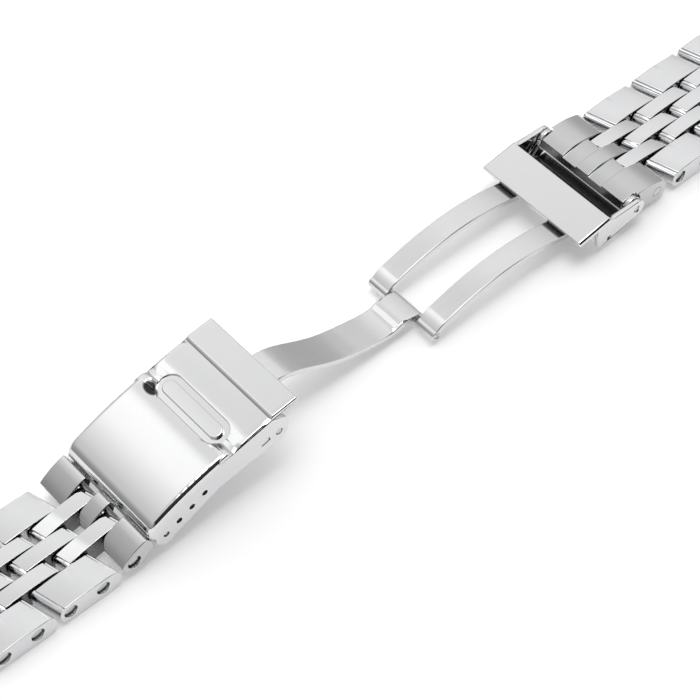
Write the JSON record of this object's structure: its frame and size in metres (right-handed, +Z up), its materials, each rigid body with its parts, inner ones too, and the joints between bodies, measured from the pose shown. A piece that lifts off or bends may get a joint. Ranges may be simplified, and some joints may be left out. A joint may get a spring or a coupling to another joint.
{
  "type": "link watch bracelet",
  "caption": "Polished link watch bracelet with an open folding clasp, a flip lock and sprung bars for the watch case.",
  "frame": {"origin": "on the table, below the middle of the strap laid open", "axes": "+X along the strap from the cover half to the fork half, +Y across it, +Z up"},
  "size_m": [0.2266, 0.025, 0.0169],
  "materials": {
    "polished_steel": "mirror polished",
    "pin_steel": "satin"
  },
  "bodies": {
    "fork": {"fork_blade": "polished_steel", "flip_lock_pin": "pin_steel", "centre_pin": "pin_steel"},
    "blade": {"middle_blade": "polished_steel"},
    "cover": {"cover_top": "polished_steel", "side_channel": "polished_steel", "cover_hinge_pin": "pin_steel"},
    "lock": {"flip_lock": "polished_steel"},
    "cover_end": {"cover_end_link": "polished_steel", "cover_end_pin": "pin_steel", "adjust_bar_tube": "pin_steel"},
    "adjust_tip_near": {"adjust_bar_tip_near": "pin_steel"},
    "adjust_tip_far": {"adjust_bar_tip_far": "pin_steel"},
    "fork_end": {"fork_end_link": "polished_steel", "fork_end_pin": "pin_steel"},
    "cover_side_pair_1": {"cover_side_pair_1": "polished_steel"},
    "cover_side_row_1": {"cover_side_row_1_near": "polished_steel", "cover_side_row_1_centre": "polished_steel", "cover_side_row_1_far": "polished_steel", "cover_side_row_1_pins": "pin_steel"},
    "cover_side_pair_2": {"cover_side_pair_2": "polished_steel"},
    "cover_side_row_2": {"cover_side_row_2_near": "polished_steel", "cover_side_row_2_centre": "polished_steel", "cover_side_row_2_far": "polished_steel", "cover_side_row_2_pins": "pin_steel"},
    "cover_side_pair_3": {"cover_side_pair_3": "polished_steel"},
    "cover_side_row_3": {"cover_side_row_3_near": "polished_steel", "cover_side_row_3_centre": "polished_steel", "cover_side_row_3_far": "polished_steel", "cover_side_row_3_pins": "pin_steel"},
    "cover_side_pair_4": {"cover_side_pair_4": "polished_steel"},
    "cover_side_lug": {"cover_side_lug_link": "polished_steel", "cover_side_lug_pin": "pin_steel", "cover_side_lug_bar_tube": "pin_steel"},
    "cover_side_lug_tip_near": {"cover_side_lug_bar_tip_near": "pin_steel"},
    "cover_side_lug_tip_far": {"cover_side_lug_bar_tip_far": "pin_steel"},
    "fork_side_pair_1": {"fork_side_pair_1": "polished_steel"},
    "fork_side_row_1": {"fork_side_row_1_near": "polished_steel", "fork_side_row_1_centre": "polished_steel", "fork_side_row_1_far": "polished_steel", "fork_side_row_1_pins": "pin_steel"},
    "fork_side_pair_2": {"fork_side_pair_2": "polished_steel"},
    "fork_side_row_2": {"fork_side_row_2_near": "polished_steel", "fork_side_row_2_centre": "polished_steel", "fork_side_row_2_far": "polished_steel", "fork_side_row_2_pins": "pin_steel"},
    "fork_side_pair_3": {"fork_side_pair_3": "polished_steel"},
    "fork_side_row_3": {"fork_side_row_3_near": "polished_steel", "fork_side_row_3_centre": "polished_steel", "fork_side_row_3_far": "polished_steel", "fork_side_row_3_pins": "pin_steel"},
    "fork_side_pair_4": {"fork_side_pair_4": "polished_steel"},
    "fork_side_lug": {"fork_side_lug_link": "polished_steel", "fork_side_lug_pin": "pin_steel", "fork_side_lug_bar_tube": "pin_steel"},
    "fork_side_lug_tip_near": {"fork_side_lug_bar_tip_near": "pin_steel"},
    "fork_side_lug_tip_far": {"fork_side_lug_bar_tip_far": "pin_steel"}
  },
  "joints": [
    {"name": "fold", "type": "hinge", "parent": "fork", "child": "blade", "pos_m": [0.008, 0, 0.0016], "axis": [0, -1, 0], "range_deg": [-150, 12]},
    {"name": "cover_hinge", "type": "hinge", "parent": "blade", "child": "cover", "pos_m": [-0.02951, 0, 0.0107], "axis": [0, -1, 0], "range_deg": [-12, 130]},
    {"name": "flip", "type": "hinge", "parent": "fork", "child": "lock", "pos_m": [0.05301, 0, 0.0044], "axis": [0, 1, 0], "range_deg": [0, 115]},
    {"name": "cover_end_swing", "type": "hinge", "parent": "cover", "child": "cover_end", "pos_m": [-0.05331, 0, 0.00446], "axis": [0, -1, 0], "range_deg": [0, 25]},
    {"name": "fork_end_swing", "type": "hinge", "parent": "fork", "child": "fork_end", "pos_m": [0.05301, 0, 0.0044], "axis": [0, 1, 0], "range_deg": [-10, 25]},
    {"name": "adjust_tip_near_push", "type": "slide", "parent": "cover_end", "child": "adjust_tip_near", "axis": [0, 1, 0], "range_m": [0, 0.001], "stiffness_N_per_m": 300},
    {"name": "adjust_tip_far_push", "type": "slide", "parent": "cover_end", "child": "adjust_tip_far", "axis": [0, -1, 0], "range_m": [0, 0.001], "stiffness_N_per_m": 300},
    {"name": "cover_side_pin_1", "type": "hinge", "parent": "cover_end", "child": "cover_side_pair_1", "pos_m": [-0.05999, 0, 0.00322], "axis": [0, -1, 0], "range_deg": [-10, 25]},
    {"name": "cover_side_pin_2", "type": "hinge", "parent": "cover_side_pair_1", "child": "cover_side_row_1", "pos_m": [-0.06631, 0, 0.0022], "axis": [0, -1, 0], "range_deg": [-10, 25]},
    {"name": "cover_side_pin_3", "type": "hinge", "parent": "cover_side_row_1", "child": "cover_side_pair_2", "pos_m": [-0.07271, 0, 0.0022], "axis": [0, -1, 0], "range_deg": [-10, 25]},
    {"name": "cover_side_pin_4", "type": "hinge", "parent": "cover_side_pair_2", "child": "cover_side_row_2", "pos_m": [-0.07911, 0, 0.0022], "axis": [0, -1, 0], "range_deg": [-10, 25]},
    {"name": "cover_side_pin_5", "type": "hinge", "parent": "cover_side_row_2", "child": "cover_side_pair_3", "pos_m": [-0.08551, 0, 0.0022], "axis": [0, -1, 0], "range_deg": [-10, 25]},
    {"name": "cover_side_pin_6", "type": "hinge", "parent": "cover_side_pair_3", "child": "cover_side_row_3", "pos_m": [-0.09191, 0, 0.0022], "axis": [0, -1, 0], "range_deg": [-10, 25]},
    {"name": "cover_side_pin_7", "type": "hinge", "parent": "cover_side_row_3", "child": "cover_side_pair_4", "pos_m": [-0.09831, 0, 0.0022], "axis": [0, -1, 0], "range_deg": [-10, 25]},
    {"name": "cover_side_pin_8", "type": "hinge", "parent": "cover_side_pair_4", "child": "cover_side_lug", "pos_m": [-0.10471, 0, 0.0022], "axis": [0, -1, 0], "range_deg": [-10, 25]},
    {"name": "cover_side_lug_tip_near_push", "type": "slide", "parent": "cover_side_lug", "child": "cover_side_lug_tip_near", "axis": [0, 1, 0], "range_m": [0, 0.001], "stiffness_N_per_m": 300},
    {"name": "cover_side_lug_tip_far_push", "type": "slide", "parent": "cover_side_lug", "child": "cover_side_lug_tip_far", "axis": [0, -1, 0], "range_m": [0, 0.001], "stiffness_N_per_m": 300},
    {"name": "fork_side_pin_1", "type": "hinge", "parent": "fork_end", "child": "fork_side_pair_1", "pos_m": [0.05994, 0, 0.00285], "axis": [0, 1, 0], "range_deg": [-10, 25]},
    {"name": "fork_side_pin_2", "type": "hinge", "parent": "fork_side_pair_1", "child": "fork_side_row_1", "pos_m": [0.06631, 0, 0.0022], "axis": [0, 1, 0], "range_deg": [-10, 25]},
    {"name": "fork_side_pin_3", "type": "hinge", "parent": "fork_side_row_1", "child": "fork_side_pair_2", "pos_m": [0.07271, 0, 0.0022], "axis": [0, 1, 0], "range_deg": [-10, 25]},
    {"name": "fork_side_pin_4", "type": "hinge", "parent": "fork_side_pair_2", "child": "fork_side_row_2", "pos_m": [0.07911, 0, 0.0022], "axis": [0, 1, 0], "range_deg": [-10, 25]},
    {"name": "fork_side_pin_5", "type": "hinge", "parent": "fork_side_row_2", "child": "fork_side_pair_3", "pos_m": [0.08551, 0, 0.0022], "axis": [0, 1, 0], "range_deg": [-10, 25]},
    {"name": "fork_side_pin_6", "type": "hinge", "parent": "fork_side_pair_3", "child": "fork_side_row_3", "pos_m": [0.09191, 0, 0.0022], "axis": [0, 1, 0], "range_deg": [-10, 25]},
    {"name": "fork_side_pin_7", "type": "hinge", "parent": "fork_side_row_3", "child": "fork_side_pair_4", "pos_m": [0.09831, 0, 0.0022], "axis": [0, 1, 0], "range_deg": [-10, 25]},
    {"name": "fork_side_pin_8", "type": "hinge", "parent": "fork_side_pair_4", "child": "fork_side_lug", "pos_m": [0.10471, 0, 0.0022], "axis": [0, 1, 0], "range_deg": [-10, 25]},
    {"name": "fork_side_lug_tip_near_push", "type": "slide", "parent": "fork_side_lug", "child": "fork_side_lug_tip_near", "axis": [0, 1, 0], "range_m": [0, 0.001], "stiffness_N_per_m": 300},
    {"name": "fork_side_lug_tip_far_push", "type": "slide", "parent": "fork_side_lug", "child": "fork_side_lug_tip_far", "axis": [0, -1, 0], "range_m": [0, 0.001], "stiffness_N_per_m": 300}
  ],
  "couplings": [
    {"joint": "cover_hinge", "follows": "fold", "ratio": -0.826}
  ]
}
